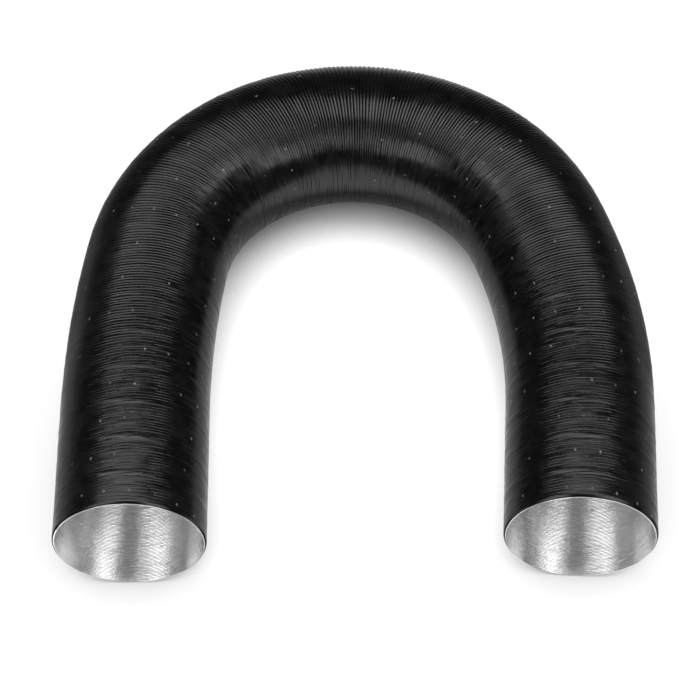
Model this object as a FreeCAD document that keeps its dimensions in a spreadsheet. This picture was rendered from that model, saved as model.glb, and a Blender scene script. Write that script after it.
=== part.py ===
import FreeCAD, Part
import math
import os

# Flexible air duct, bent into a U and lying flat: an aluminium foil liner, a kraft paper ply and a
# black outer jacket, bonded to each other and pleated so that the duct bends, lifts and stretches.
# Each ply is made in stretches: stiff bands, and pleats between them where the duct gives way.

doc = FreeCAD.newDocument("FlexibleAirDuct")
sheet = doc.addObject("Spreadsheet::Sheet", "Sizes")

# Driving sizes, in millimetres and degrees
driving = [
    ("bore_radius", 37.5, "inside of the foil liner, for a 75 mm spigot"),
    ("foil_wall", 0.15, "aluminium foil with its lapped seams"),
    ("paper_wall", 0.25, "kraft paper ply"),
    ("jacket_wall", 0.3, "outer jacket in the valley of a pleat"),
    ("glue_gap", 0.05, "glue line between two plies"),
    ("rib_height", 0.7, "from the valley of a pleat to its crest"),
    ("rib_pitch", 3.5, "pleat to pleat, rounded so that each stretch holds whole pleats"),
    ("crest_share", 0.34, "share of the pitch that a crest takes"),
    ("flank_share", 0.2, "share of the pitch that one flank takes"),
    ("floor_flat", 0.5, "depth to which the lowest crests are pressed flat"),
    ("crown_radius", 108.0, "bend radius of the crown on the centreline"),
    ("left_crown_turn", 81.0, "turn from the middle of the crown to the left shoulder"),
    ("right_crown_turn", 70.0, "turn from the middle of the crown to the right shoulder"),
    ("left_shoulder_length", 101.0, "gently bent run below the left of the crown"),
    ("left_shoulder_turn", 10.0, "turn along the left shoulder"),
    ("right_shoulder_length", 119.0, "gently bent run below the right of the crown"),
    ("right_shoulder_turn", 23.0, "turn along the right shoulder"),
    ("cuff_length", 80.0, "straight end that goes over a spigot"),
    ("crown_band_length", 24.5, "stiff band in the middle of the crown"),
    ("band_length", 21.0, "each other stiff band"),
    ("foil_burr", 0.8, "foil left standing past the cut end"),
]

# Radii and lengths that follow from the driving sizes
per_radian = "180 / pi"
derived = [
    ("foil_radius", "bore_radius + foil_wall"),
    ("paper_bore", "foil_radius + glue_gap"),
    ("paper_radius", "paper_bore + paper_wall"),
    ("jacket_bore", "paper_radius + glue_gap"),
    ("valley_radius", "jacket_bore + jacket_wall"),
    ("crest_radius", "valley_radius + rib_height"),
    ("axis_height", "crest_radius - floor_flat"),
    ("crown_band_turn", f"crown_band_length / crown_radius * {per_radian}"),
    ("side_band_turn", f"band_length / crown_radius * {per_radian}"),
]
for side in ("left", "right"):
    derived += [
        (f"{side}_crown_pleats_turn", f"({side}_crown_turn - crown_band_turn / 2) / 2 - side_band_turn"),
        (f"{side}_shoulder_radius", f"{side}_shoulder_length / {side}_shoulder_turn * {per_radian}"),
        (f"{side}_shoulder_band_turn", f"band_length / {side}_shoulder_radius * {per_radian}"),
        (f"{side}_shoulder_pleats_turn", f"({side}_shoulder_turn - {side}_shoulder_band_turn) / 2"),
    ]

row = 0
for alias, value, note in driving:
    row += 1
    sheet.set(f"A{row}", alias)
    sheet.set(f"B{row}", str(value))
    sheet.set(f"C{row}", note)
    sheet.setAlias(f"B{row}", alias)
for alias, formula in derived:
    row += 1
    sheet.set(f"A{row}", alias)
    sheet.setAlias(f"B{row}", alias)
    sheet.set(f"B{row}", "=" + formula)
doc.recompute()


def size(alias):
    return float(sheet.get(alias))


up = FreeCAD.Vector(0, 0, 1)
overrun = 5.0   # how far a cutting tool runs past what it cuts


class Stretch:
    """One length of duct: an arc about a vertical axis, or a straight cuff."""

    def __init__(self, name, begin, heading, radius_alias, turn_alias, hand):
        self.name = name
        self.begin = begin
        self.heading = heading
        self.radius_alias = radius_alias
        self.turn_alias = turn_alias
        self.hand = hand
        self.straight = radius_alias is None
        if self.straight:
            self.length = size("cuff_length")
            self.end_heading = heading
            self.end = begin + direction(heading) * self.length
            return
        self.radius = size(radius_alias)
        self.turn = size(turn_alias)
        self.length = self.radius * math.radians(self.turn)
        self.end_heading = heading + hand * self.turn
        self.centre = begin + direction(heading + 90 * hand) * self.radius
        self.end = self.centre + direction(self.end_heading - 90 * hand) * self.radius

    def placement(self, origin):
        if self.straight:
            along = direction(self.heading)
            turned = FreeCAD.Rotation(up, along.cross(up), along, "ZXY")
            return FreeCAD.Placement(self.begin - origin, turned)
        first = self.heading if self.hand > 0 else self.end_heading
        return FreeCAD.Placement(self.centre - origin, FreeCAD.Rotation(up, first - 90 * self.hand))

    def ring(self, run, radius):
        """A circle round the duct, run millimetres from the stretch's own zero, seam on top."""
        circle = Part.makeCircle(radius)
        if self.straight:
            circle.Placement = FreeCAD.Placement(FreeCAD.Vector(0, 0, run), FreeCAD.Rotation())
            return Part.Wire(circle)
        angle = math.degrees(run / self.radius)
        along = direction(angle + 90)
        turned = FreeCAD.Rotation(up, along.cross(up), along, "ZXY")
        circle.Placement = FreeCAD.Placement(direction(angle) * self.radius, turned)
        return Part.Wire(circle)

    def spots(self):
        """An odd number of points along the centreline, each with its heading."""
        steps = 2 if self.straight else 2 * math.ceil(2 * self.turn)
        for step in range(steps + 1):
            share = step / steps
            if self.straight:
                yield self.begin + (self.end - self.begin) * share, self.heading
            else:
                heading = self.heading + self.hand * self.turn * share
                yield self.centre + direction(heading - 90 * self.hand) * self.radius, heading


def direction(degrees):
    return FreeCAD.Vector(math.cos(math.radians(degrees)), math.sin(math.radians(degrees)), 0)


crown_centre = FreeCAD.Vector(0, -size("crown_radius"), 0)
crown_band_half = size("crown_band_turn") / 2


def crown_spot(angle):
    """A point of the crown's centreline, by its angle about the crown's centre."""
    return crown_centre + direction(angle) * size("crown_radius")


def half_duct(side, hand):
    """The stretches from the crown band to one end, in order. hand is 1 on the left, -1 on the right."""
    start = crown_spot(90 + hand * crown_band_half)
    heading = 90 + hand * (90 + crown_band_half)
    plan = [
        ("pleats_1", "crown_radius", f"{side}_crown_pleats_turn"),
        ("band_1", "crown_radius", "side_band_turn"),
        ("pleats_2", "crown_radius", f"{side}_crown_pleats_turn"),
        ("band_2", "crown_radius", "side_band_turn"),
        ("pleats_3", f"{side}_shoulder_radius", f"{side}_shoulder_pleats_turn"),
        ("band_3", f"{side}_shoulder_radius", f"{side}_shoulder_band_turn"),
        ("pleats_4", f"{side}_shoulder_radius", f"{side}_shoulder_pleats_turn"),
        ("cuff", None, None),
    ]
    half = []
    for name, radius_alias, turn_alias in plan:
        half.append(Stretch(f"{side}_{name}", start, heading, radius_alias, turn_alias, hand))
        start = half[-1].end
        heading = half[-1].end_heading
    return half


# The crown band is centred on the top of the U, and the two halves run down from it
crown_band = Stretch("crown_band", crown_spot(90 + crown_band_half), crown_band_half,
                     "crown_radius", "crown_band_turn", -1)
left_half = half_duct("left", 1)
right_half = half_duct("right", -1)
stretches = [crown_band] + left_half + right_half

# The origin is the middle of the footprint, on the floor
reach = FreeCAD.BoundBox()
for stretch in stretches:
    for spot, heading in stretch.spots():
        aside = direction(heading + 90) * size("crest_radius")
        reach.add(spot + aside)
        reach.add(spot - aside)
for half in (left_half, right_half):
    cuff = half[-1]
    aside = direction(cuff.heading + 90) * size("foil_radius")
    lip = cuff.end + direction(cuff.heading) * size("foil_burr")
    reach.add(lip + aside)
    reach.add(lip - aside)
origin = FreeCAD.Vector(reach.Center.x, reach.Center.y, -size("axis_height"))


def bound(kind, name, **sizes):
    """A primitive whose properties follow the sheet."""
    primitive = doc.addObject(kind, name)
    for prop, formula in sizes.items():
        primitive.setExpression(prop, formula)
    return primitive


def cut(name, base, tool):
    difference = doc.addObject("Part::Cut", name)
    difference.Base = base
    difference.Tool = tool
    return difference


def solid_run(stretch, name, radius, past_end="0"):
    """The stretch as a solid rod of one radius."""
    if stretch.straight:
        return bound("Part::Cylinder", name, Radius=f"Sizes.{radius}",
                     Height=f"Sizes.cuff_length + {past_end}")
    return bound("Part::Torus", name, Radius1=f"Sizes.{stretch.radius_alias}",
                 Radius2=f"Sizes.{radius}", Angle3=f"Sizes.{stretch.turn_alias}")


def bore_tool(stretch, name, radius):
    """What bores a ply out: a long rod, or a whole ring about the bend's axis."""
    if stretch.straight:
        rod = bound("Part::Cylinder", name, Radius=f"Sizes.{radius}",
                    Height=f"Sizes.cuff_length + Sizes.foil_burr + {2 * overrun}")
        rod.Placement.Base = FreeCAD.Vector(0, 0, -overrun)
        return rod
    return bound("Part::Torus", name, Radius1=f"Sizes.{stretch.radius_alias}", Radius2=f"Sizes.{radius}")


def floor_tool(stretch, name):
    """The block below the floor that takes the lowest crests off."""
    drop = size("axis_height")
    if stretch.straight:
        block = bound("Part::Box", name, Length="Sizes.crest_radius", Width="2 * Sizes.crest_radius",
                      Height=f"Sizes.cuff_length + {2 * overrun}")
        block.Placement.Base = FreeCAD.Vector(-drop - size("crest_radius"), -size("crest_radius"), -overrun)
        return block
    span = f"2 * (Sizes.{stretch.radius_alias} + Sizes.crest_radius)"
    block = bound("Part::Box", name, Length=span, Width=span, Height="Sizes.crest_radius")
    half_span = stretch.radius + size("crest_radius")
    block.Placement.Base = FreeCAD.Vector(-half_span, -half_span, -drop - size("crest_radius"))
    return block


def rib_count(stretch):
    return max(1, round(stretch.length / size("rib_pitch")))


def ribbed_run(stretch):
    """The pleated outside: a ruled loft through four circles for each rib."""
    ribs = rib_count(stretch)
    pitch = stretch.length / ribs
    valley, crest = size("valley_radius"), size("crest_radius")
    crest_share, flank_share = size("crest_share"), size("flank_share")
    foot = (1 - crest_share) / 2 - flank_share
    profile = [
        (foot, valley),
        (foot + flank_share, crest),
        (foot + flank_share + crest_share, crest),
        (foot + 2 * flank_share + crest_share, valley),
    ]
    rings = [stretch.ring(0, valley)]
    for rib in range(ribs):
        for share, radius in profile:
            rings.append(stretch.ring((rib + share) * pitch, radius))
    rings.append(stretch.ring(stretch.length, valley))
    return Part.makeLoft(rings, True, True)


def make_liner(stretch):
    name = "liner_" + stretch.name
    outside = solid_run(stretch, name + "_outside", "foil_radius", "Sizes.foil_burr")
    return cut(name, outside, bore_tool(stretch, name + "_bore", "bore_radius"))


def make_paper(stretch):
    name = "paper_" + stretch.name
    outside = solid_run(stretch, name + "_outside", "paper_radius")
    return cut(name, outside, bore_tool(stretch, name + "_bore", "paper_bore"))


def make_jacket(stretch):
    name = "jacket_" + stretch.name
    outside = doc.addObject("Part::Feature", name + "_outside")
    outside.Shape = ribbed_run(stretch)
    hollow = cut(name + "_hollow", outside, bore_tool(stretch, name + "_bore", "jacket_bore"))
    return cut(name, hollow, floor_tool(stretch, name + "_floor"))


sub_parts = []
for stretch in stretches:
    for maker in (make_jacket, make_paper, make_liner):
        sub_part = maker(stretch)
        sub_part.Label = sub_part.Name
        sub_part.Placement = stretch.placement(origin)
        sub_parts.append(sub_part)
doc.recompute()

for item in doc.Objects:
    if "Invalid" in item.State or "Error" in item.State:
        raise RuntimeError(f"{item.Label} did not recompute: {item.State}")
for sub_part in sub_parts:
    shape = sub_part.Shape
    if shape.isNull() or not shape.isValid() or len(shape.Solids) != 1:
        raise RuntimeError(f"{sub_part.Label} is not one valid solid")

os.makedirs("parts", exist_ok=True)
whole = FreeCAD.BoundBox()
for sub_part in sub_parts:
    sub_part.Shape.exportStep(f"parts/{sub_part.Label}.step")
    whole.add(sub_part.Shape.optimalBoundingBox(False, False))

centreline = sum(stretch.length for stretch in stretches)
print(f"sub-parts {len(sub_parts)}, ribs {sum(rib_count(stretch) for stretch in stretches)}")
print(f"centreline {centreline:.1f} mm, crest radius {size('crest_radius'):.2f} mm")
print(f"box {whole.XMin:.2f} {whole.XMax:.2f} {whole.YMin:.2f} {whole.YMax:.2f} {whole.ZMin:.2f} {whole.ZMax:.2f}")
for stretch in stretches:
    middle = list(stretch.spots())
    spot, heading = middle[len(middle) // 2]
    place = spot - origin
    print(f"{stretch.name}: length {stretch.length:.2f}, ribs {rib_count(stretch)}, "
          f"middle {place.x:.3f} {place.y:.3f} {place.z:.3f}, heading {heading:.3f}")
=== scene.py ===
import bpy
import math
import numpy as np
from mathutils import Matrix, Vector


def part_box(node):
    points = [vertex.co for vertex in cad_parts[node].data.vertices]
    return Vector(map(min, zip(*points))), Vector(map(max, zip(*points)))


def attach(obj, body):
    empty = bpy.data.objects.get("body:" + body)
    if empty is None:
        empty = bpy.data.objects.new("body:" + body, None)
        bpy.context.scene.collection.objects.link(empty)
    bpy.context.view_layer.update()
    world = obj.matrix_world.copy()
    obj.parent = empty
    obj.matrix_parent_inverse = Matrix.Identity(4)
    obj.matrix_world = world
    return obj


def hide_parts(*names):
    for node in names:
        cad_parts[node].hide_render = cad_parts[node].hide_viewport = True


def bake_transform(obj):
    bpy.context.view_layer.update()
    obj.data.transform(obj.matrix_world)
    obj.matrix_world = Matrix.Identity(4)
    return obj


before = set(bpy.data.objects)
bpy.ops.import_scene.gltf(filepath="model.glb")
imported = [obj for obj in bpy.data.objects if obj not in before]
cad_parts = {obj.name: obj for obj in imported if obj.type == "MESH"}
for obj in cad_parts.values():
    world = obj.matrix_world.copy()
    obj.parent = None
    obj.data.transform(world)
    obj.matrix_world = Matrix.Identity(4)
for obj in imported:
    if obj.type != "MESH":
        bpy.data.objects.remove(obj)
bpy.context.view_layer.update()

mm = 0.001

# The photograph's camera, in the part's own frame
camera = {
    "elevation": 54.315,                       # degrees above the floor
    "distance": 1.2332,
    "aim": Vector((-0.0042, -0.0346, 0.0385)),
    "lens": 119.0,                             # millimetres, on the sensor below
    "sensor": 36,
    "reach": 60,                               # metres
}


def placeCamera():
    tilt = math.radians(camera["elevation"])
    back = Vector((0, -math.cos(tilt), math.sin(tilt)))
    data = bpy.data.cameras.new("photoCamera")
    data.lens = camera["lens"]
    data.sensor_width = camera["sensor"]
    data.clip_end = camera["reach"]
    photoCamera = bpy.data.objects.new("photoCamera", data)
    bpy.context.scene.collection.objects.link(photoCamera)
    photoCamera.location = camera["aim"] + back * camera["distance"]
    photoCamera.rotation_euler = (math.pi / 2 - tilt, 0, 0)
    bpy.context.scene.camera = photoCamera


placeCamera()
bpy.context.scene.view_settings.view_transform = "Standard"
print("camera placed")

# The duct's run, as the solids have it, and its pleats. Runs are positive on the right of the
# crown's middle and negative on the left.
duct = {
    "crownRadius": 108 * mm,
    "crownTurn": {"left": 81.0, "right": 70.0},
    "shoulderLength": {"left": 101 * mm, "right": 119 * mm},
    "shoulderTurn": {"left": 10.0, "right": 23.0},
    "bendEase": 10 * mm,                       # how far from its end one curve eases into the next
    "cuffLength": 80 * mm,
    "crestRadius": 39 * mm,
    "foldLength": 1.5 * mm,                    # half a pleat, from valley to crest along the ply
    "deepest": 0.82 * mm,                      # most that a valley lies under its crests
    "shallowest": 0.3 * mm,                    # and least, where a bend opens the pleats
    "floorFlat": 0.5 * mm,                     # how deep the lowest crests are pressed flat
    "crownPitch": 1.96 * mm,                   # pleat to pleat in the middle of the crown
    "pitchLoss": 0.001,                        # pitch lost for each metre of run, towards the ends
    "madePitch": 1.8,                          # millimetres, as the duct left the machine
    "stripPleats": 13,                         # pleats between two seams of the wound strip
    "columns": 192,                            # mesh columns round the duct
}
# How far the outer side of a pleat runs ahead of its top, in millimetres, along the duct
pleatLean = {
    "run": (-332, -318, -230, -170, -110, -50, 0, 40, 130, 200, 265, 316, 330),
    "ahead": (0.0, -1.4, -2.3, -2.5, -5.3, -4.8, -2.2, 0.2, 0.0, -1.2, -2.6, -1.0, 0.0),
}

crownLow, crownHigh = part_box("jacket_crown_band")
crownTop = np.array(((crownLow.x + crownHigh.x) / 2, crownHigh.y - duct["crestRadius"]))
axisHeight = duct["crestRadius"] - duct["floorFlat"]
sides = {"left": 1, "right": -1}               # the hand that each half turns to


def arcLength(radius, degrees):
    return radius * math.radians(degrees)


def compass(angle):
    return np.stack([np.cos(angle), np.sin(angle)], -1)


def halfLine(side, run):
    # Centre of the duct and its outward direction, run metres from the crown on one side
    hand = sides[side]
    crownLength = arcLength(duct["crownRadius"], duct["crownTurn"][side])
    shoulderRadius = duct["shoulderLength"][side] / math.radians(duct["shoulderTurn"][side])
    crownAngle = np.minimum(run, crownLength) / duct["crownRadius"]
    shoulderRun = np.clip(run - crownLength, 0, duct["shoulderLength"][side])
    shoulderAngle = shoulderRun / shoulderRadius
    cuffRun = np.maximum(run - crownLength - duct["shoulderLength"][side], 0)
    crownFace = math.pi / 2 + hand * crownAngle
    face = crownFace + hand * shoulderAngle
    crownEnd = math.pi / 2 + hand * math.radians(duct["crownTurn"][side])
    centre = crownTop - np.array((0, duct["crownRadius"]))
    centre = centre + duct["crownRadius"] * compass(crownFace)
    centre = centre + shoulderRadius * (compass(crownEnd + hand * shoulderAngle)
                                        - compass(np.full_like(run, crownEnd)))
    centre = centre + cuffRun[..., None] * compass(face + hand * math.pi / 2)
    return centre, compass(face)


def ductLine(run):
    left = halfLine("left", -run)
    right = halfLine("right", run)
    onLeft = (run < 0)[..., None]
    return np.where(onLeft, left[0], right[0]), np.where(onLeft, left[1], right[1])


def halfLength(side):
    return (arcLength(duct["crownRadius"], duct["crownTurn"][side])
            + duct["shoulderLength"][side] + duct["cuffLength"])


def bendAt(run):
    # How sharply the duct turns, per metre, eased where one curve meets the next
    ease = duct["bendEase"]
    halves = []
    for side, hand in (("left", -1), ("right", 1)):
        crownLength = arcLength(duct["crownRadius"], duct["crownTurn"][side])
        cuffStart = crownLength + duct["shoulderLength"][side]
        shoulderBend = math.radians(duct["shoulderTurn"][side]) / duct["shoulderLength"][side]
        knotsAt = (crownLength - ease, crownLength + ease, cuffStart - ease, cuffStart + ease)
        bends = (1 / duct["crownRadius"], shoulderBend, shoulderBend, 0)
        halves.append(np.interp(hand * run, knotsAt, bends))
    return np.where(run < 0, halves[0], halves[1])


def pleatRun(pleat):
    # Run of a pleat by its number, from 0 in the middle of the crown
    steps = 1 - np.exp(-duct["pitchLoss"] * np.abs(pleat))
    return np.sign(pleat) * duct["crownPitch"] / duct["pitchLoss"] * steps


def pleatNumber(run):
    share = 1 - duct["pitchLoss"] * abs(run) / duct["crownPitch"]
    return math.copysign(math.log(share) / duct["pitchLoss"], run)


def smoothKnots(x, knotsAt, values):
    # Through the knots, level at each of them
    place = np.clip(np.searchsorted(knotsAt, x) - 1, 0, len(knotsAt) - 2)
    knotsAt = np.asarray(knotsAt, float)
    values = np.asarray(values, float)
    share = np.clip((x - knotsAt[place]) / (knotsAt[place + 1] - knotsAt[place]), 0, 1)
    share = share * share * (3 - 2 * share)
    return values[place] * (1 - share) + values[place + 1] * share


def latticeNoise(seed, rows, columns, rowStep, columnStep):
    # Smooth noise from -1 to 1 on a grid that closes on itself round the duct
    random = np.random.default_rng(seed)
    rowKnots = int(rows / rowStep) + 3
    columnKnots = max(3, round(columns / columnStep))
    knots = random.uniform(-1, 1, (rowKnots, columnKnots))
    rowPlace = np.arange(rows) / rowStep
    columnPlace = np.arange(columns) * columnKnots / columns
    rowFloor = rowPlace.astype(int)
    columnFloor = columnPlace.astype(int)
    rowShare = rowPlace - rowFloor
    columnShare = columnPlace - columnFloor
    rowShare = (rowShare * rowShare * (3 - 2 * rowShare))[:, None]
    columnShare = (columnShare * columnShare * (3 - 2 * columnShare))[None, :]
    nextColumn = (columnFloor + 1) % columnKnots
    here = knots[rowFloor]
    there = knots[rowFloor + 1]
    here = here[:, columnFloor] * (1 - columnShare) + here[:, nextColumn] * columnShare
    there = there[:, columnFloor] * (1 - columnShare) + there[:, nextColumn] * columnShare
    return here * (1 - rowShare) + there * rowShare


def ringNoise(seed, columnStep):
    return latticeNoise(seed, 2, duct["columns"], 1, columnStep)[0]


# How unevenly the pleats are pressed
unevenness = {
    "drift": 0.26 * mm,                        # whole pleats, along the duct
    "wander": 0.1 * mm,                        # single pleats, along the duct
    "crestDrop": 0.16,                         # most that a crest is lower, as a share of the depth
    "bendShare": 0.35,                         # how much of a bend's opening the crests feel
    "pitch": (1.71 * mm, 1.78 * mm),           # closed pleats and open ones, for the two lines below
    "valleyRise": (0.85, 0.1),                 # how far valleys are filled, as a share of the depth
    "riseSwing": (0.6, 0.15),                  # and how much that varies
    "groupShare": 0.3,                         # how much more pleats side by side vary together
    "fullest": 0.975,                          # most that a valley is filled
    "ovality": 0.16 * mm,                      # slow swelling of the whole wall
}
firstPleat = -190
pleatCount = 380
knotCount = 2 * pleatCount                     # a knot in each valley and on each crest
columns = duct["columns"]
turnStep = 2 * math.pi / columns
around = np.arange(columns) * turnStep         # from the top, towards the outside of the bend
# Seed of each kind of unevenness, and how far it reaches in knots along the duct and in columns
noises = {
    "drift": (11, 9, 30),
    "wander": (12, 1, 9),
    "height": (13, 1, 7),
    "group": (14, 7, 40),
    "swell": (15, 34, 48),
    "dent": (22, 11, 14),
    "ridge": (23, 1, 4),
}
fields = {name: latticeNoise(seed, knotCount, columns, rowStep, columnStep)
          for name, (seed, rowStep, columnStep) in noises.items()}


def noiseAt(name, pleat):
    field = fields[name]
    place = 2 * (np.asarray(pleat, float) - firstPleat)
    low = np.floor(place).astype(int)
    share = (place - low)[:, None]
    return field[low] * (1 - share) + field[low + 1] * share


def wallPoints(pleat, radius, calm):
    # Points of a wall, one row for each pleat number, with radius as rows and columns in metres.
    # Calm is the share of the pleats' drift that each row shows.
    pleat = np.asarray(pleat, float)
    run = pleatRun(pleat)
    lean = smoothKnots(run / mm, pleatLean["run"], pleatLean["ahead"]) * mm
    shift = (unevenness["drift"] * noiseAt("drift", pleat)
             + unevenness["wander"] * noiseAt("wander", pleat)) * calm[:, None]
    spots = run[:, None] + lean[:, None] * np.sin(around) + shift
    swell = unevenness["ovality"] * (noiseAt("swell", pleat) - 1) / 2
    radius = radius + swell
    centre, outward = ductLine(spots)
    flat = centre + (radius * np.sin(around))[..., None] * outward
    height = axisHeight + radius * np.cos(around)
    return np.concatenate([flat, height[..., None]], -1)


def pitchAt(run):
    return duct["crownPitch"] - duct["pitchLoss"] * np.abs(run)


def openedPitch(pleat):
    # Pleat to pleat round the duct: wider on the outside of a bend, narrower on its inside
    run = pleatRun(pleat)
    opening = 1 + duct["crestRadius"] * bendAt(run)[:, None] * np.sin(around)
    return pitchAt(run)[:, None] * opening


def feltPitch(pleat):
    # The pitch that sets how broad the crests are and how far the valleys are filled
    even = pitchAt(pleatRun(pleat))[:, None]
    return even + unevenness["bendShare"] * (openedPitch(pleat) - even)


# The last pleat before each cut is pulled in. Lengths without a unit are in pleats.
cut = {
    "tuck": 0.85 * mm,
    "reach": 0.85,
    "reachSwing": 0.35,
    "calm": 4,                                 # the cut is square, so the pleats' drift dies away here
}
cutPleats = {side: pleatNumber(-hand * halfLength(side)) for side, hand in sides.items()}
tuckReach = cut["reach"] + cut["reachSwing"] * ringNoise(16, 30)


def foldRadius(pleat, fullness):
    # Outer face of the pleated wall. The pleats flatten where a bend opens them. A fullness of 1
    # gives sharp crests, and a higher one broad crests with narrow valleys between them.
    pitch = openedPitch(pleat)
    depth = np.sqrt(np.maximum(duct["foldLength"] ** 2 - (pitch / 2) ** 2, duct["shallowest"] ** 2))
    depth = np.minimum(depth, duct["deepest"])
    valley = np.round(pleat)
    felt = feltPitch(pleat)
    rise = np.interp(felt, unevenness["pitch"], unevenness["valleyRise"])
    swing = np.interp(felt, unevenness["pitch"], unevenness["riseSwing"])
    uneven = noiseAt("height", valley) + unevenness["groupShare"] * noiseAt("group", valley)
    low = np.clip(rise + swing * uneven, 0, unevenness["fullest"])
    crest = noiseAt("height", np.floor(pleat) + 0.5)
    high = 1 - unevenness["crestDrop"] * np.clip(0.5 + 0.5 * crest, 0, 1)
    fromCrest = np.abs(2 * (pleat - np.floor(pleat)) - 1)[:, None]
    full = 1 - fromCrest ** fullness
    toCut = np.minimum(pleat - cutPleats["left"], cutPleats["right"] - pleat)[:, None]
    pulled = cut["tuck"] * np.clip(1 - toCut / tuckReach, 0, 1)
    return duct["crestRadius"] - np.maximum(depth * (1 - low - (high - low) * full), pulled)


def rimNormals(pleat, step, radiusAt, floorHeight, facing, calm):
    # Normals where one piece meets the next, as if the wall went on
    rows = np.array((pleat - step, pleat, pleat + step))
    before, here, after = layOnFloor(wallPoints(rows, radiusAt(rows), np.full(3, calm)), floorHeight)
    normals = np.cross(after - before, np.roll(here, -1, 0) - np.roll(here, 1, 0))
    normals /= np.linalg.norm(normals, axis=1)[:, None]
    outward = (normals * (here - here.mean(0))).sum()
    return normals * math.copysign(facing, outward)


def layOnFloor(points, height):
    points[..., 2] = np.maximum(points[..., 2], height)
    return points


def madeSpace(pleat, radius):
    # The same points on the duct as it was made: straight, in millimetres
    radius = np.broadcast_to(radius, (len(pleat), columns)) / mm
    along = np.broadcast_to((np.asarray(pleat, float) * duct["madePitch"])[:, None], radius.shape)
    return np.stack([radius * np.sin(around), along, radius * np.cos(around)], -1)


def markAlong(piece, points):
    # The duct's own direction at each point, which the foil's gloss follows. Where the rings turn
    # back at a rim, it is taken to be towards the open ends.
    middles = points.mean(1)
    ahead = np.roll(middles, -1, 0) - np.roll(middles, 1, 0)
    run = np.linalg.norm(ahead, axis=1)[:, None]
    turnsBack = run <= 0.1 * mm
    ahead = np.where(turnsBack, (0, -mm, 0), ahead)
    ahead[ahead[:, 1] > 0] *= -1
    ahead /= np.linalg.norm(ahead, axis=1)[:, None]
    along = piece.data.attributes.new("alongDuct", "FLOAT_VECTOR", "POINT")
    along.data.foreach_set("vector", np.repeat(ahead, columns, 0).astype(np.float32).ravel())


def ringQuads(rings):
    # Corners of the faces between rings in a loop: each ring joins the next, the last the first
    ring = np.arange(rings)[:, None]
    column = np.arange(columns)
    nextRing = (ring + 1) % rings
    nextColumn = (column + 1) % columns
    corners = (ring * columns + column, ring * columns + nextColumn,
               nextRing * columns + nextColumn, nextRing * columns + column)
    return np.stack(corners, -1).reshape(-1, 4)


def crispNormals(rows, facing):
    # Normals of all rings but the first and last, by the size of the faces beside them, so that
    # broad crests look flat up to their edges
    across = np.roll(rows, -1, 1)[1:] - rows[:-1]
    back = rows[1:] - np.roll(rows, -1, 1)[:-1]
    faceNormals = np.cross(across, back) * facing
    faceNormals += np.roll(faceNormals, 1, 1)
    blended = faceNormals[:-1] + faceNormals[1:]
    return blended / np.linalg.norm(blended, axis=2)[..., None]


def ringShell(name, points, space, flatRows, rims, crispRows=0):
    # A closed shell from rings. The rims hold the normals of the rings that a neighbour meets, and
    # the first crispRows rings are shaded crisply.
    rings = points.shape[0]
    quads = ringQuads(rings)
    flatPoints = points.reshape(-1, 3)
    one, two, three = (flatPoints[quads[:, i]] for i in (0, 1, 2))
    facing = 1
    if np.einsum("ij,ij->i", one, np.cross(two, three)).sum() < 0:
        quads = quads[:, ::-1]
        facing = -1
    mesh = bpy.data.meshes.new(name)
    mesh.vertices.add(len(flatPoints))
    mesh.vertices.foreach_set("co", flatPoints.astype(np.float32).ravel())
    mesh.loops.add(quads.size)
    mesh.loops.foreach_set("vertex_index", quads.astype(np.int32).ravel())
    mesh.polygons.add(len(quads))
    mesh.polygons.foreach_set("loop_start", np.arange(0, quads.size, 4, dtype=np.int32))
    smooth = np.ones((rings, columns), bool)
    for row in flatRows:
        smooth[row] = False
    mesh.update(calc_edges=True)
    mesh.polygons.foreach_set("use_smooth", smooth.ravel())
    made = mesh.attributes.new("madeSpace", "FLOAT_VECTOR", "POINT")
    made.data.foreach_set("vector", space.reshape(-1, 3).astype(np.float32).ravel())
    mesh.validate()
    mesh.update()
    normals = np.zeros((rings, columns, 3))
    if crispRows:
        normals[1:crispRows - 1] = crispNormals(points[:crispRows], facing)
    for row, rimNormal in rims.items():
        normals[row] = rimNormal
    if rims:
        mesh.normals_split_custom_set_from_vertices(normals.reshape(-1, 3).tolist())
    piece = bpy.data.objects.new(name, mesh)
    bpy.context.scene.collection.objects.link(piece)
    return piece


# Each ply comes in pieces that run from the middle of one band to the middle of the next, across
# the pleats where one joint bends or stretches the duct
zones = {
    "1": ("pleats_1", "band_1"),
    "2": ("band_1", "pleats_2", "band_2"),
    "3": ("band_2", "pleats_3", "band_3"),
    "4": ("band_3", "pleats_4", "cuff"),
    "end": ("cuff",),
}
zoneBodies = {
    "1": ("crown", "band_1"),
    "2": ("band_1", "band_2"),
    "3": ("band_2", "band_3"),
    "4": ("band_3", "cuff"),
    "end": ("cuff",),
}
zoneOrder = list(zones)
bandLength = 21 * mm
crownBandLength = 24.5 * mm
cuffOverlap = 15 * mm                          # how far into the cuff the last pleats' piece runs


def bandMiddles(side):
    # Runs at which the pieces meet, from the crown to the end
    crownLength = arcLength(duct["crownRadius"], duct["crownTurn"][side])
    crownPleats = (crownLength - crownBandLength / 2) / 2 - bandLength
    one = crownBandLength / 2 + crownPleats + bandLength / 2
    two = crownLength - bandLength / 2
    three = crownLength + duct["shoulderLength"][side] / 2
    four = halfLength(side) - duct["cuffLength"] + cuffOverlap
    return (0.0, one, two, three, four, halfLength(side))


def zoneRuns(side, zone):
    place = zoneOrder.index(zone)
    return bandMiddles(side)[place:place + 2]


def zoneSpan(side, zone):
    # First and last pleat number of a piece, at valleys, or at the cut
    direction = -sides[side]
    near, far = (pleatNumber(direction * run) for run in zoneRuns(side, zone))
    near = round(near)
    if zone != "end":
        far = round(far)
    return (near, far) if direction > 0 else (far, near)


leastGap = 0.04                                # in pleats, from a piece's end to its next row


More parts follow.
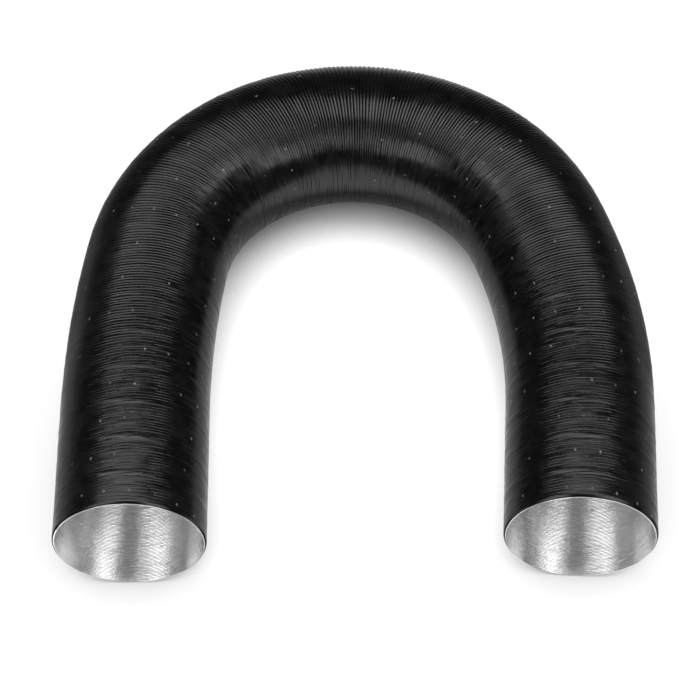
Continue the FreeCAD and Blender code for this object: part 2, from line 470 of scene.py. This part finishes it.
def rowsBetween(first, last, shares):
    whole = np.arange(math.floor(first), math.ceil(last) + 1)
    rows = (whole[:, None] + np.asarray(shares)).ravel()
    rows = rows[(rows > first + leastGap) & (rows < last - leastGap)]
    return np.concatenate([[first], rows, [last]])


def edgeCalmFor(side, zone, pleat):
    if zone != "end":
        return np.ones(len(pleat))
    return np.clip(np.abs(cutPleats[side] - pleat) / cut["calm"], 0, 1)


def joinRims(zone, rows, step, radiusAt, floorHeight, facing, calm=1.0):
    # The rim normals of a piece's rows, but for the row at the cut
    rims = {}
    for place in (0, len(rows) - 1):
        atCut = zone == "end" and rows[place] != round(rows[place])
        if not atCut:
            rims[place] = rimNormals(rows[place], step, radiusAt, floorHeight, facing, calm)
    return rims


def wallRings(side, zone, rows, radius, floorHeight, calmShare=1):
    # Rings of one face of a piece, and the same points on the duct as it was made
    calm = edgeCalmFor(side, zone, rows) * calmShare
    return layOnFloor(wallPoints(rows, radius, calm), floorHeight), madeSpace(rows, radius)


# Faces that show have several rows to a pleat, and the glued faces only its valley and crest
hiddenRows = (0, 0.5)


def hiddenRadius(pleat, inwards):
    return foldRadius(pleat, 1) - inwards


jacket = {
    "bore": 0.06 * mm,                         # how far inside the pleats' outer face it lies
    "pitch": (1.7 * mm, 1.74 * mm, 1.79 * mm, 1.9 * mm, 2.2 * mm),
    "crestFullness": (13, 6, 2.2, 1.7, 1.4),   # at those pitches
    "rowShares": (0, 0.06, 0.13, 0.21, 0.5, 0.79, 0.87, 0.94),
    "seamLift": 0.1 * mm,                      # the lapped edge of each strip
    "seamWidth": 0.8,                          # in pleats
    "proudest": 0.05 * mm,                     # most that a lap stands past the crests
}


def jacketRadius(pleat):
    radius = foldRadius(pleat, np.interp(feltPitch(pleat), jacket["pitch"], jacket["crestFullness"]))
    seam = (pleat[:, None] / duct["stripPleats"] - around / (2 * math.pi)) % 1
    lap = np.exp(-((seam - 0.5) * duct["stripPleats"] / jacket["seamWidth"]) ** 2)
    return np.minimum(radius + jacket["seamLift"] * lap, duct["crestRadius"] + jacket["proudest"])


def makeJacket(side, zone):
    first, last = zoneSpan(side, zone)
    outer = rowsBetween(first, last, jacket["rowShares"])
    inner = rowsBetween(first, last, hiddenRows)[::-1]
    outside, outsideSpace = wallRings(side, zone, outer, jacketRadius(outer), 0)
    innerRadius = hiddenRadius(inner, jacket["bore"])
    inside, insideSpace = wallRings(side, zone, inner, innerRadius, jacket["bore"])
    points = np.concatenate([outside, inside])
    space = np.concatenate([outsideSpace, insideSpace])
    rims = joinRims(zone, outer, jacket["rowShares"][1], jacketRadius, 0, 1)
    flatRows = (len(outer) - 1, len(points) - 1)
    return ringShell(f"jacket_{side}_{zone}", points, space, flatRows, rims, len(outer))


paper = {"outside": 0.08 * mm, "bore": 0.15 * mm}       # also counted from the jacket's outer face


def makePaper(side, zone):
    first, last = zoneSpan(side, zone)
    outer = rowsBetween(first, last, hiddenRows)
    inner = outer[::-1]
    outerRadius = hiddenRadius(outer, paper["outside"])
    innerRadius = hiddenRadius(inner, paper["bore"])
    outside, outsideSpace = wallRings(side, zone, outer, outerRadius, paper["outside"])
    inside, insideSpace = wallRings(side, zone, inner, innerRadius, paper["bore"])
    points = np.concatenate([outside, inside])
    space = np.concatenate([outsideSpace, insideSpace])
    return ringShell(f"paper_{side}_{zone}", points, space, (len(outer) - 1, len(points) - 1), {})


liner = {
    "outside": 0.17 * mm,                      # counted the same way
    "bore": 0.34 * mm,
    "crestFullness": 1.35,
    "flattening": 0.8,                         # share of the pleats' depth that the foil bridges
    "dent": 0.12 * mm,
    "ridges": 2,                               # fine ridges pressed in the foil, to a pleat
    "ridgeHeight": 0.42 * mm,
    "ridgeSwing": 0.15,                        # share of that height that varies
    "calm": 0.35,                              # share of the pleats' drift that the bore shows
    "rows": {"1": 2, "2": 2, "3": 4, "4": 8, "end": 8},     # to a pleat, fewer where less shows
}


def linerRadius(pleat):
    dents = np.abs(noiseAt("dent", pleat)) * liner["dent"]
    folded = foldRadius(pleat, liner["crestFullness"])
    valleys = duct["crestRadius"] - duct["deepest"]
    ridge = 1 - np.abs(2 * (pleat * liner["ridges"] % 1) - 1)
    uneven = 1 - liner["ridgeSwing"] + liner["ridgeSwing"] * noiseAt("ridge", pleat)
    ridges = liner["ridgeHeight"] * ridge[:, None] * uneven
    return folded - liner["flattening"] * (folded - valleys) - liner["bore"] - dents - ridges


# The foil's edge, folded over each cut. Angles are in degrees, and places round the cut are
# counted from the top towards the outside.
hem = {
    "foil": 0.07 * mm,
    "middle": 37.85 * mm,                      # radius of the fold's middle
    "half": 0.27 * mm,                         # half its width
    "depth": 0.18 * mm,                        # how far it stands past the cut
    "depthSwing": 0.35,
    "rows": 8,
    "turns": {                                 # places, and how far the fold has turned there
        "left": ((-180, -150, -120, -95, -60, -20, 20, 55, 62, 66, 80, 105, 130, 150, 180),
                 (-30, 30, -60, -85, -60, 35, 60, 80, 100, -60, -75, 0, -80, 60, -30)),
        "right": ((-180, -150, -120, -100, -70, -40, 0, 40, 75, 95, 110, 130, 150, 180),
                  (60, -40, 20, -70, -85, -60, 40, 80, 60, -60, 40, -40, 75, 60)),
    },
    "leastTurn": -86,
    "turnSwing": {"fine": 30, "slow": 12},
    "seeds": {"left": {"fine": 31, "slow": 33}, "right": {"fine": 32, "slow": 34}},
    "noiseStep": {"fine": 3, "slow": 11},      # in columns
    "flaps": {"left": (65, 106, 0.7 * mm), "right": (148, 176, 0.35 * mm)},     # from, to, height
    "flapEase": (3, 25),                       # how far a flap takes to rise and to fall
}


def hemPoints(side, shrink):
    # Rings that carry the foil over the cut edge, from the bore outwards
    degrees = (np.degrees(around) + 180) % 360 - 180
    fine, slow = (ringNoise(hem["seeds"][side][kind], hem["noiseStep"][kind]) for kind in ("fine", "slow"))
    turns = np.interp(degrees, *hem["turns"][side])
    reach = np.radians(turns + hem["turnSwing"]["fine"] * fine + hem["turnSwing"]["slow"] * slow)
    reach = np.maximum(reach, math.radians(hem["leastTurn"]))
    shares = np.linspace(0, 1, hem["rows"])[1:, None]
    turn = -math.pi / 2 + (reach + math.pi / 2) * shares
    depth = hem["depth"] * (1 + hem["depthSwing"] * slow) - shrink
    forward = depth * np.cos(turn)
    flapFrom, flapTo, flapHeight = hem["flaps"][side]
    rising, falling = hem["flapEase"]
    flap = np.clip((degrees - flapFrom) / rising, 0, 1) * np.clip((flapTo - degrees) / falling, 0, 1)
    radius = hem["middle"] + (hem["half"] - shrink) * np.sin(turn) + flapHeight * flap * shares
    run = (halfLength(side) + forward) * -sides[side]
    centre, outward = ductLine(run)
    flat = centre + (radius * np.sin(around))[..., None] * outward
    height = axisHeight + radius * np.cos(around)
    points = np.concatenate([flat, height[..., None]], -1)
    past = (turn + math.pi / 2) * hem["half"] / mm
    along = cutPleats[side] * duct["madePitch"] - sides[side] * past
    space = np.stack([radius / mm * np.sin(around), along, radius / mm * np.cos(around)], -1)
    return points, space


def makeLiner(side, zone):
    first, last = zoneSpan(side, zone)
    rowCount = liner["rows"][zone]
    inner = rowsBetween(first, last, np.arange(rowCount) / rowCount)
    outer = rowsBetween(first, last, hiddenRows)[::-1]
    inside, insideSpace = wallRings(side, zone, inner, linerRadius(inner), liner["bore"], liner["calm"])
    outerRadius = hiddenRadius(outer, liner["outside"])
    outside, outsideSpace = wallRings(side, zone, outer, outerRadius, liner["outside"])
    if side == "left":
        inner = inner[::-1]
        inside, insideSpace = inside[::-1], insideSpace[::-1]
        outside, outsideSpace = outside[::-1], outsideSpace[::-1]
    rims = joinRims(zone, inner, 1 / rowCount, linerRadius, liner["bore"], -1, liner["calm"])
    name = f"liner_{side}_{zone}"
    if zone != "end":
        points = np.concatenate([inside, outside])
        space = np.concatenate([insideSpace, outsideSpace])
        piece = ringShell(name, points, space, (len(inside) - 1, len(points) - 1), rims)
        markAlong(piece, points)
        return piece
    over, overSpace = hemPoints(side, 0)
    under, underSpace = hemPoints(side, hem["foil"])
    points = np.concatenate([inside, layOnFloor(over, 0), layOnFloor(under[::-1], 0), outside])
    space = np.concatenate([insideSpace, overSpace, underSpace[::-1], outsideSpace])
    piece = ringShell(name, points, space, (len(inside) + len(over) - 1, len(points) - 1), rims)
    markAlong(piece, points)
    return piece


def bodyName(side, part):
    return part if part == "crown" else f"{side}_{part}"


def nodeName(ply, side, part):
    return f"{ply}_{side}_{part}"


def mount(piece, ply, side, zone):
    bodies = [bodyName(side, part) for part in zoneBodies[zone]]
    if len(bodies) == 1:
        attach(piece, bodies[0])
    else:
        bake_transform(piece)
    nodes = [nodeName(ply, side, part) for part in zones[zone]]
    if zone == "1":
        nodes.append(f"{ply}_crown_band")
    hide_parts(*nodes)


plies = {}
for plyName, makePly in (("jacket", makeJacket), ("paper", makePaper), ("liner", makeLiner)):
    plies[plyName] = []
    for sideName in sides:
        for zoneName in zones:
            newPiece = makePly(sideName, zoneName)
            mount(newPiece, plyName, sideName, zoneName)
            plies[plyName].append(newPiece)
    faces = sum(len(piece.data.polygons) for piece in plies[plyName])
    print(plyName, "made:", len(plies[plyName]), "pieces,", faces, "faces")


# Shader effects that more than one material uses
def newGroup(name, inputs, outputs):
    group = bpy.data.node_groups.new(name, "ShaderNodeTree")
    for socketName, socketType, value in inputs:
        socket = group.interface.new_socket(socketName, in_out="INPUT", socket_type=socketType)
        if value is not None:
            socket.default_value = value
    for socketName, socketType in outputs:
        group.interface.new_socket(socketName, in_out="OUTPUT", socket_type=socketType)
    start = group.nodes.new("NodeGroupInput")
    end = group.nodes.new("NodeGroupOutput")
    return group, start, end


def join(tree, source, target):
    tree.links.new(source, target)


def setOrJoin(tree, socket, value):
    if isinstance(value, bpy.types.NodeSocket):
        join(tree, value, socket)
    elif value is not None:
        socket.default_value = value


def mathNode(tree, operation, a, b=None, c=None):
    node = tree.nodes.new("ShaderNodeMath")
    node.operation = operation
    for socket, value in zip(node.inputs, (a, b, c)):
        setOrJoin(tree, socket, value)
    return node.outputs[0]


def rampNode(tree, value, low, high, toLow=0.0, toHigh=1.0):
    node = tree.nodes.new("ShaderNodeMapRange")
    node.interpolation_type = "SMOOTHSTEP"
    limits = {"From Min": low, "From Max": high, "To Min": toLow, "To Max": toHigh}
    for socketName, limit in limits.items():
        setOrJoin(tree, node.inputs[socketName], limit)
    join(tree, value, node.inputs["Value"])
    return node.outputs["Result"]


def noiseNode(tree, space, scale, detail=2.0, roughness=0.5, stretch=None):
    if stretch is not None:
        scaled = tree.nodes.new("ShaderNodeVectorMath")
        scaled.operation = "MULTIPLY"
        join(tree, space, scaled.inputs[0])
        scaled.inputs[1].default_value = stretch
        space = scaled.outputs[0]
    node = tree.nodes.new("ShaderNodeTexNoise")
    join(tree, space, node.inputs["Vector"])
    setOrJoin(tree, node.inputs["Scale"], scale)
    node.inputs["Detail"].default_value = detail
    node.inputs["Roughness"].default_value = roughness
    return node.outputs[0]


def mixColours(tree, mask, first, second):
    node = tree.nodes.new("ShaderNodeMix")
    node.data_type = "RGBA"
    setOrJoin(tree, node.inputs[0], mask)
    setOrJoin(tree, node.inputs[6], first)
    setOrJoin(tree, node.inputs[7], second)
    return node.outputs[2]


grainMix = {
    "fine": (3.0, 0.6),                        # detail and roughness of the noise
    "coarse": (2.0, 0.5),
    "coarseHeight": 0.5,
}


def buildGrain():
    group, start, end = newGroup("pressedGrain", (
        ("Space", "NodeSocketVector", None),
        ("Fine per mm", "NodeSocketFloat", 2.5),
        ("Coarse per mm", "NodeSocketFloat", 0.4),
    ), (("Height", "NodeSocketFloat"), ("Blotches", "NodeSocketFloat")))
    fine = noiseNode(group, start.outputs["Space"], start.outputs["Fine per mm"], *grainMix["fine"])
    coarse = noiseNode(group, start.outputs["Space"], start.outputs["Coarse per mm"], *grainMix["coarse"])
    height = mathNode(group, "MULTIPLY_ADD", coarse, grainMix["coarseHeight"], fine)
    join(group, height, end.inputs["Height"])
    join(group, coarse, end.inputs["Blotches"])
    return group


crimpMark = {
    "scatter": 1.2,                            # mm, either way across the row
    "edge": (1.25, 0.55),                      # squared shares of its size where it begins and is full
}


def buildCrimps():
    # Marks that the seam wheel leaves: a row of short dashes along the wound strip's lap
    group, start, end = newGroup("crimpMarks", (
        ("Space", "NodeSocketVector", None),
        ("Strip mm", "NodeSocketFloat", duct["stripPleats"] * duct["madePitch"]),
        ("Step turns", "NodeSocketFloat", 0.0517),
        ("Half length mm", "NodeSocketFloat", 0.95),
        ("Half width mm", "NodeSocketFloat", 0.6),
    ), (("Mask", "NodeSocketFloat"), ("Shade", "NodeSocketFloat")))
    parts = group.nodes.new("ShaderNodeSeparateXYZ")
    join(group, start.outputs["Space"], parts.inputs[0])
    turn = mathNode(group, "DIVIDE", mathNode(group, "ARCTAN2", parts.outputs["X"], parts.outputs["Z"]),
                    2 * math.pi)
    strips = mathNode(group, "DIVIDE", parts.outputs["Y"], start.outputs["Strip mm"])
    wound = mathNode(group, "SUBTRACT", strips, turn)
    strip = mathNode(group, "ROUND", wound)
    aside = mathNode(group, "SUBTRACT", wound, strip)
    aside = mathNode(group, "MULTIPLY", aside, start.outputs["Strip mm"])
    along = mathNode(group, "DIVIDE", mathNode(group, "ADD", strip, turn), start.outputs["Step turns"])
    mark = mathNode(group, "ROUND", along)
    chance = group.nodes.new("ShaderNodeTexWhiteNoise")
    chance.noise_dimensions = "1D"
    join(group, mark, chance.inputs["W"])
    scatter = mathNode(group, "MULTIPLY_ADD", chance.outputs["Value"], 2 * crimpMark["scatter"],
                       -crimpMark["scatter"])
    aside = mathNode(group, "ADD", aside, scatter)
    stepMm = mathNode(group, "MULTIPLY", start.outputs["Step turns"],
                      2 * math.pi * duct["crestRadius"] / mm)
    beside = mathNode(group, "MULTIPLY", mathNode(group, "SUBTRACT", along, mark), stepMm)
    asideShare = mathNode(group, "DIVIDE", aside, start.outputs["Half length mm"])
    besideShare = mathNode(group, "DIVIDE", beside, start.outputs["Half width mm"])
    far = mathNode(group, "ADD", mathNode(group, "POWER", asideShare, 2.0),
                   mathNode(group, "POWER", besideShare, 2.0))
    join(group, rampNode(group, far, *crimpMark["edge"]), end.inputs["Mask"])
    join(group, chance.outputs["Value"], end.inputs["Shade"])
    return group


def buildSpecks():
    group, start, end = newGroup("strayLint", (
        ("Space", "NodeSocketVector", None),
        ("Per mm", "NodeSocketFloat", 0.25),
        ("Size", "NodeSocketFloat", 0.08),
        ("Share", "NodeSocketFloat", 0.2),
    ), (("Mask", "NodeSocketFloat"),))
    cells = group.nodes.new("ShaderNodeTexVoronoi")
    join(group, start.outputs["Space"], cells.inputs["Vector"])
    join(group, start.outputs["Per mm"], cells.inputs["Scale"])
    dot = rampNode(group, cells.outputs["Distance"], start.outputs["Size"], 0.0)
    pick = group.nodes.new("ShaderNodeSeparateColor")
    join(group, cells.outputs["Color"], pick.inputs[0])
    chosen = mathNode(group, "LESS_THAN", pick.outputs[0], start.outputs["Share"])
    join(group, mathNode(group, "MULTIPLY", dot, chosen), end.inputs["Mask"])
    return group


crinkleMix = {
    "warp": {"perMm": 0.3, "reach": 4},        # mm by which the folds wander
    "fine": {"perMm": 1.6, "height": 0.35},
    "streaksPerMm": 1.0,
    "noise": (3.0, 0.6),                       # detail and roughness of the two above
    "stretch": (0.12, 3.0, 0.12),              # streaks are long round the duct and narrow along it
}


def buildCrinkle():
    group, start, end = newGroup("foilCrinkle", (
        ("Space", "NodeSocketVector", None),
        ("Per mm", "NodeSocketFloat", 0.35),
    ), (("Height", "NodeSocketFloat"), ("Streaks", "NodeSocketFloat")))
    folds = group.nodes.new("ShaderNodeTexVoronoi")
    folds.feature = "SMOOTH_F1"
    warp = noiseNode(group, start.outputs["Space"], crinkleMix["warp"]["perMm"])
    moved = group.nodes.new("ShaderNodeVectorMath")
    moved.operation = "MULTIPLY_ADD"
    spread = group.nodes.new("ShaderNodeCombineXYZ")
    join(group, warp, spread.inputs["X"])
    join(group, warp, spread.inputs["Z"])
    join(group, spread.outputs[0], moved.inputs[0])
    moved.inputs[1].default_value = (crinkleMix["warp"]["reach"],) * 3
    join(group, start.outputs["Space"], moved.inputs[2])
    join(group, moved.outputs[0], folds.inputs["Vector"])
    join(group, start.outputs["Per mm"], folds.inputs["Scale"])
    fine = noiseNode(group, start.outputs["Space"], crinkleMix["fine"]["perMm"], *crinkleMix["noise"])
    height = mathNode(group, "MULTIPLY_ADD", fine, crinkleMix["fine"]["height"], folds.outputs["Distance"])
    streaks = noiseNode(group, start.outputs["Space"], crinkleMix["streaksPerMm"], *crinkleMix["noise"],
                        crinkleMix["stretch"])
    join(group, height, end.inputs["Height"])
    join(group, streaks, end.inputs["Streaks"])
    return group


grain = buildGrain()
crimps = buildCrimps()
specks = buildSpecks()
crinkle = buildCrinkle()


def newMaterial(name):
    material = bpy.data.materials.new(name)
    material.use_nodes = True
    tree = material.node_tree
    shader = tree.nodes["Principled BSDF"]
    space = tree.nodes.new("ShaderNodeAttribute")
    space.attribute_name = "madeSpace"
    return material, tree, shader, space.outputs["Vector"]


def placeGroup(tree, group, space, values=None):
    node = tree.nodes.new("ShaderNodeGroup")
    node.node_tree = group
    join(tree, space, node.inputs["Space"])
    for socketName, value in (values or {}).items():
        node.inputs[socketName].default_value = value
    return node.outputs


def bumpNode(tree, height, distance):
    node = tree.nodes.new("ShaderNodeBump")
    node.inputs["Strength"].default_value = 1.0
    node.inputs["Distance"].default_value = distance
    join(tree, height, node.inputs["Height"])
    return node.outputs[0]


def axisDistance(tree, space):
    parts = tree.nodes.new("ShaderNodeSeparateXYZ")
    join(tree, space, parts.inputs[0])
    square = mathNode(tree, "MULTIPLY", parts.outputs["X"], parts.outputs["X"])
    square = mathNode(tree, "MULTIPLY_ADD", parts.outputs["Z"], parts.outputs["Z"], square)
    return mathNode(tree, "SQRT", square)


jacketFinish = {
    "black": (0.0026, 0.0026, 0.0028, 1),
    "fadedBlack": (0.0045, 0.0045, 0.0048, 1),
    "crimp": (0.11, 0.11, 0.115, 1),
    "lint": (0.12, 0.12, 0.12, 1),
    "grain": {"Fine per mm": 2.2, "Coarse per mm": 0.12},
    "specks": {"Per mm": 0.16, "Size": 0.06, "Share": 0.22},
    "roughness": (0.18, 0.26),
    "blotch": (0.35, 0.65),                    # noise at which black turns to faded black
    "glossBlotch": (0.3, 0.7),                 # noise at which smooth turns to rough
    "crimpsKept": (0.25, 0.9),                 # chance at which a crimp begins to show, and is pale
    "crimpDent": -3.0,                         # in grain depths
    "grainDepth": 0.01 * mm,
    "specular": {"facing": 0.4, "grazing": 0.04},
    "grazing": (0.28, 0.5),                    # how far turned away the gloss starts and ends fading
    "valley": (38.3, 38.6),                    # mm from the axis, where open valleys end and crests begin
    "glossInPaintedShade": 0.25,                       # share of the gloss that is left in an open valley, as painted shade there
}


def makeJacketMaterial():
    material, tree, shader, space = newMaterial("blackJacket")
    surface = placeGroup(tree, grain, space, jacketFinish["grain"])
    marks = placeGroup(tree, crimps, space)
    lint = placeGroup(tree, specks, space, jacketFinish["specks"])
    blotch = rampNode(tree, surface["Blotches"], *jacketFinish["blotch"])
    colour = mixColours(tree, blotch, jacketFinish["black"], jacketFinish["fadedBlack"])
    colour = mixColours(tree, lint["Mask"], colour, jacketFinish["lint"])
    kept = rampNode(tree, marks["Shade"], *jacketFinish["crimpsKept"])
    strength = mathNode(tree, "MULTIPLY", marks["Mask"], kept)
    colour = mixColours(tree, strength, colour, jacketFinish["crimp"])
    join(tree, colour, shader.inputs["Base Color"])
    roughness = rampNode(tree, surface["Blotches"], *jacketFinish["glossBlotch"],
                         *jacketFinish["roughness"])
    join(tree, roughness, shader.inputs["Roughness"])
    height = mathNode(tree, "MULTIPLY_ADD", marks["Mask"], jacketFinish["crimpDent"], surface["Height"])
    join(tree, bumpNode(tree, height, jacketFinish["grainDepth"]), shader.inputs["Normal"])
    # The gloss fades at low angles. In the open valleys it is cut down, which paints shade into them.
    facing, grazing = (jacketFinish["specular"][way] for way in ("facing", "grazing"))
    shader.inputs["Specular IOR Level"].default_value = facing
    turned = tree.nodes.new("ShaderNodeLayerWeight")
    turned.inputs["Blend"].default_value = 0.5
    gloss = rampNode(tree, turned.outputs["Facing"], *jacketFinish["grazing"], facing, grazing)
    # crest is 1 on the crests and falls in the open valleys: the mask of the painted valley shade
    crest = rampNode(tree, axisDistance(tree, space), *jacketFinish["valley"],
                     jacketFinish["glossInPaintedShade"], 1.0)
    join(tree, mathNode(tree, "MULTIPLY", gloss, crest), shader.inputs["Specular IOR Level"])
    return material


paperFinish = {
    "light": (0.44, 0.31, 0.19, 1),
    "dark": (0.33, 0.22, 0.13, 1),
    "roughness": 0.85,
    "grain": {"Fine per mm": 3.0, "Coarse per mm": 0.5},
    "fibreDepth": 0.02 * mm,
}


def makePaperMaterial():
    material, tree, shader, space = newMaterial("kraftPaper")
    surface = placeGroup(tree, grain, space, paperFinish["grain"])
    colour = mixColours(tree, surface["Blotches"], paperFinish["light"], paperFinish["dark"])
    join(tree, colour, shader.inputs["Base Color"])
    shader.inputs["Roughness"].default_value = paperFinish["roughness"]
    join(tree, bumpNode(tree, surface["Height"], paperFinish["fibreDepth"]), shader.inputs["Normal"])
    return material


foilFinish = {
    "bright": (0.9, 0.9, 0.905, 1),
    "dull": (0.8, 0.8, 0.805, 1),
    "metal": 0.9,
    "roughness": (0.2, 0.28),
    "spread": 0.7,                             # how much more gloss spreads along the duct than round it
    "streak": (0.3, 0.7),                      # noise at which bright turns to dull
    "glossStreak": (0.25, 0.75),               # noise at which smooth turns to rough
    "crinkle": {"Per mm": 0.4},
    "crimpDent": 4.0,                          # in crinkle depths
    "crinkleDepth": 0.05 * mm,
}


def makeFoilMaterial():
    material, tree, shader, space = newMaterial("aluminiumFoil")
    folds = placeGroup(tree, crinkle, space, foilFinish["crinkle"])
    marks = placeGroup(tree, crimps, space)
    streak = rampNode(tree, folds["Streaks"], *foilFinish["streak"])
    colour = mixColours(tree, streak, foilFinish["bright"], foilFinish["dull"])
    join(tree, colour, shader.inputs["Base Color"])
    shader.inputs["Metallic"].default_value = foilFinish["metal"]
    roughness = rampNode(tree, folds["Streaks"], *foilFinish["glossStreak"], *foilFinish["roughness"])
    join(tree, roughness, shader.inputs["Roughness"])
    height = mathNode(tree, "MULTIPLY_ADD", marks["Mask"], foilFinish["crimpDent"], folds["Height"])
    join(tree, bumpNode(tree, height, foilFinish["crinkleDepth"]), shader.inputs["Normal"])
    along = tree.nodes.new("ShaderNodeAttribute")
    along.attribute_name = "alongDuct"
    turnedAlong = tree.nodes.new("ShaderNodeVectorTransform")
    turnedAlong.vector_type = "VECTOR"
    turnedAlong.convert_from = "OBJECT"
    turnedAlong.convert_to = "WORLD"
    join(tree, along.outputs["Vector"], turnedAlong.inputs[0])
    join(tree, turnedAlong.outputs[0], shader.inputs["Tangent"])
    shader.inputs["Anisotropic"].default_value = foilFinish["spread"]
    return material


finishes = {"jacket": makeJacketMaterial(), "paper": makePaperMaterial(), "liner": makeFoilMaterial()}
for plyName, pieces in plies.items():
    for piece in pieces:
        piece.data.materials.append(finishes[plyName])
for nodeKey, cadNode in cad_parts.items():
    cadNode.data.materials.clear()
    cadNode.data.materials.append(finishes[nodeKey.split("_")[0]])
print("materials made")

# A white floor that keeps the duct's shadow, with a painted contact shadow added to it, and soft lights
# over it
floorSize = {"radius": 14.0, "edge": 128}
floorFinish = {
    "pale": (0.4, 0.4, 0.4, 1),
    "roughness": 0.9,
    "specular": 0.1,
    "glow": (1.0, 0.63, 0.1, 0.02),            # a painted pool of light, at the distances below, from the middle
    "reach": ((0.08, 0.19), (0.3, 0.6), (0.6, 10.0)),
    "shade": {"full": 0.08, "none": 0.66},     # how open the floor is where its glow ends and begins, for a painted contact shadow
    "shadeReach": 0.2,
}
horizon = {"low": 0.10, "high": 0.025, "rise": 0.2, "tint": (0.94, 0.97, 1, 1)}


def seenRay(tree):
    # What the camera, gloss and glass see, and diffuse light does not
    ray = tree.nodes.new("ShaderNodeLightPath")
    seen = mathNode(tree, "MAXIMUM", ray.outputs["Is Camera Ray"], ray.outputs["Is Glossy Ray"])
    return mathNode(tree, "MAXIMUM", seen, ray.outputs["Is Transmission Ray"])


def makeFloorMaterial():
    # White at a plain strength near the duct, and darker far away: a painted pool of light. The glow also
    # fades in the duct's shade, where ambient occlusion paints a contact shadow.
    material = bpy.data.materials.new("whiteFloor")
    material.use_nodes = True
    tree = material.node_tree
    shader = tree.nodes["Principled BSDF"]
    shader.inputs["Base Color"].default_value = floorFinish["pale"]
    shader.inputs["Roughness"].default_value = floorFinish["roughness"]
    shader.inputs["Specular IOR Level"].default_value = floorFinish["specular"]
    shader.inputs["Emission Color"].default_value = (1, 1, 1, 1)
    place = tree.nodes.new("ShaderNodeNewGeometry")
    away = tree.nodes.new("ShaderNodeVectorMath")
    away.operation = "LENGTH"
    join(tree, place.outputs["Position"], away.inputs[0])
    glow = floorFinish["glow"]
    strength = glow[0]
    for step, (begins, ends) in enumerate(floorFinish["reach"]):
        fall = rampNode(tree, away.outputs["Value"], begins, ends, 0.0, glow[step + 1] - glow[step])
        strength = mathNode(tree, "ADD", fall, strength)
    # Ambient occlusion paints a contact shadow into the glow, on top of the floor's real shadow
    paintedShadowOcclusion = tree.nodes.new("ShaderNodeAmbientOcclusion")
    paintedShadowOcclusion.inputs["Distance"].default_value = floorFinish["shadeReach"]
    shade = floorFinish["shade"]
    outsidePaintedShadow = rampNode(tree, paintedShadowOcclusion.outputs["AO"], shade["full"], shade["none"])
    strength = mathNode(tree, "MULTIPLY", strength, outsidePaintedShadow)
    strength = mathNode(tree, "MULTIPLY", strength, seenRay(tree))
    join(tree, strength, shader.inputs["Emission Strength"])
    return material


def makeFloor():
    mesh = bpy.data.meshes.new("floor")
    turns = [2 * math.pi * i / floorSize["edge"] for i in range(floorSize["edge"])]
    rim = [(floorSize["radius"] * math.cos(t), floorSize["radius"] * math.sin(t), 0) for t in turns]
    mesh.from_pydata(rim, [], [list(range(len(rim)))])
    mesh.materials.append(makeFloorMaterial())
    floor = bpy.data.objects.new("floor", mesh)
    bpy.context.scene.collection.objects.link(floor)


def makeWorld():
    world = bpy.data.worlds.new("studio")
    bpy.context.scene.world = world
    world.use_nodes = True
    tree = world.node_tree
    sky = tree.nodes.new("ShaderNodeTexCoord")
    parts = tree.nodes.new("ShaderNodeSeparateXYZ")
    join(tree, sky.outputs["Generated"], parts.inputs[0])
    level = rampNode(tree, parts.outputs["Z"], 0.0, horizon["rise"], horizon["low"], horizon["high"])
    background = tree.nodes["Background"]
    background.inputs["Color"].default_value = horizon["tint"]
    join(tree, level, background.inputs["Strength"])


makeFloor()
makeWorld()

# Soft boxes: middle, size across and along, and radiance as a share of white
softBoxes = {
    "overhead": {"at": (0.02, 0.22, 1.5), "size": (3.1, 1.0), "level": 3.5},
    "frontLeft": {"at": (-1.24, -1.7, 1.6), "size": (2.0, 1.3), "level": 3.2},
    "frontRight": {"at": (1.48, -1.4, 1.6), "size": (1.64, 1.3), "level": 3.2},
    "back": {"at": (0, 3.4, 0.6), "size": (5.0, 0.9), "level": 0.2},
}


def hangSoftBox(name, box):
    data = bpy.data.lights.new(name, "AREA")
    data.shape = "RECTANGLE"
    data.size, data.size_y = box["size"]
    data.energy = box["level"] * math.pi * box["size"][0] * box["size"][1]
    light = bpy.data.objects.new(name, data)
    bpy.context.scene.collection.objects.link(light)
    light.location = box["at"]
    light.rotation_euler = (-Vector(box["at"])).to_track_quat("-Z", "Y").to_euler()
    light.visible_camera = False


for boxName, box in softBoxes.items():
    hangSoftBox(boxName, box)
print("stage and lights set")

bpy.context.view_layer.update()
